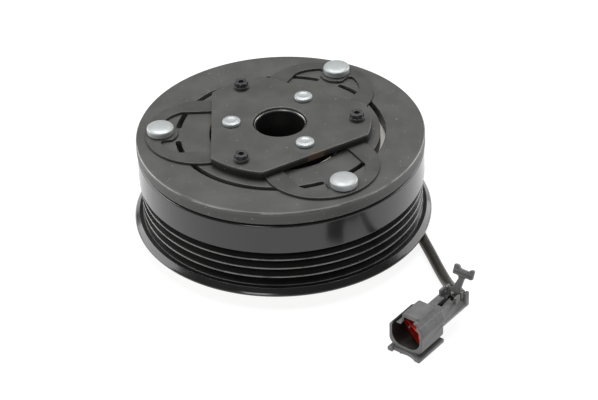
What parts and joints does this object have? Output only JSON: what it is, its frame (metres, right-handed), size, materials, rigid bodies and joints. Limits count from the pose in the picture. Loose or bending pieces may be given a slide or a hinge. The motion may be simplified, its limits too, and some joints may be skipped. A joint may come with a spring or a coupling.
{
  "type": "electromagnetic clutch",
  "caption": "Compressor clutch: a magnet coil pulls a sprung armature disc onto a grooved belt pulley on a ball bearing, with a short sleeved lead and a plastic connector.",
  "frame": {"origin": "on the clutch's axis, at the mounting side's lowest face, which the clutch stands on", "axes": "+Z along the axis from the compressor side to the front, +X towards the side where the lead leaves the coil, -Y towards the connector"},
  "size_m": [0.1149, 0.1389, 0.0446],
  "materials": {
    "phosphated_steel": "black phosphate, satin, fine grain",
    "pulley_coating": "smooth black coating, semi-gloss",
    "zinc": "bright zinc plating",
    "black_rubber": "matte black rubber",
    "spring_steel": "black phosphated spring steel",
    "bare_steel": "ground bare steel",
    "lining": "coarse brown friction lining",
    "ball_steel": "polished bearing steel",
    "cage_brass": "pressed brass",
    "seal_rubber": "matte red-brown rubber",
    "coil_paint": "black paint",
    "plated_steel": "yellow zinc plating",
    "bobbin_nylon": "natural nylon",
    "copper": "enamelled copper wire",
    "potting": "black potting resin",
    "sleeve": "black woven sleeve",
    "wire": "black wire insulation",
    "connector_plastic": "dark grey moulded plastic",
    "red_silicone": "red silicone seal",
    "terminal_tin": "tin-plated brass"
  },
  "bodies": {
    "coil_assembly": {"coil_housing": "coil_paint", "coil_bobbin": "bobbin_nylon", "coil_winding": "copper", "coil_potting": "potting", "coil_mounting_plate": "plated_steel", "locating_pin": "bare_steel", "lead_gland": "black_rubber", "lead_sleeve": "sleeve", "wire_1": "wire", "wire_2": "wire", "connector_housing": "connector_plastic", "connector_seal": "red_silicone", "terminal_1": "terminal_tin", "terminal_2": "terminal_tin", "bearing_inner_ring": "bare_steel"},
    "connector_flap": {"connector_flap": "connector_plastic"},
    "pulley": {"pulley_rim": "pulley_coating", "rotor": "pulley_coating", "friction_ring": "lining", "bearing_outer_ring": "bare_steel", "bearing_snap_ring": "bare_steel", "bearing_seal_top": "seal_rubber", "bearing_seal_bottom": "seal_rubber"},
    "bearing_cage": {"bearing_cage": "cage_brass", "ball_01": "ball_steel", "ball_02": "ball_steel", "ball_03": "ball_steel", "ball_04": "ball_steel", "ball_05": "ball_steel", "ball_06": "ball_steel", "ball_07": "ball_steel", "ball_08": "ball_steel", "ball_09": "ball_steel", "ball_10": "ball_steel", "ball_11": "ball_steel", "ball_12": "ball_steel", "ball_13": "ball_steel", "ball_14": "ball_steel"},
    "hub": {"hub_boss": "plated_steel", "hub_plate": "phosphated_steel", "hub_rivet_1": "zinc", "hub_rivet_2": "zinc", "hub_rivet_3": "zinc", "bumper_1": "black_rubber", "bumper_2": "black_rubber", "bumper_3": "black_rubber", "gap_shim": "bare_steel", "leaf_spring_1": "spring_steel", "leaf_spring_2": "spring_steel", "leaf_spring_3": "spring_steel"},
    "armature": {"armature_plate": "phosphated_steel", "armature_rivet_1": "zinc", "armature_rivet_2": "zinc", "armature_rivet_3": "zinc"}
  },
  "joints": [
    {"name": "pulley_spin", "type": "hinge", "parent": "coil_assembly", "child": "pulley", "pos_m": [0, 0, 0.0219], "axis": [0, 0, 1], "continuous": true},
    {"name": "cage_spin", "type": "hinge", "parent": "coil_assembly", "child": "bearing_cage", "pos_m": [0, 0, 0.0219], "axis": [0, 0, 1], "continuous": true},
    {"name": "hub_spin", "type": "hinge", "parent": "coil_assembly", "child": "hub", "pos_m": [0, 0, 0.028], "axis": [0, 0, 1], "continuous": true},
    {"name": "armature_pull", "type": "slide", "parent": "hub", "child": "armature", "axis": [0, 0, -1], "range_m": [0, 0.00045], "stiffness_N_per_m": 4000, "springref_m": -0.002, "deforming": ["leaf_spring_1", "leaf_spring_2", "leaf_spring_3"]},
    {"name": "flap_hinge", "type": "hinge", "parent": "coil_assembly", "child": "connector_flap", "pos_m": [0.05679, -0.06294, 0.0126], "axis": [0.7771, -0.6293, 0], "range_deg": [0, 110]}
  ],
  "couplings": [
    {"joint": "cage_spin", "follows": "pulley_spin", "ratio": 0.56207}
  ]
}
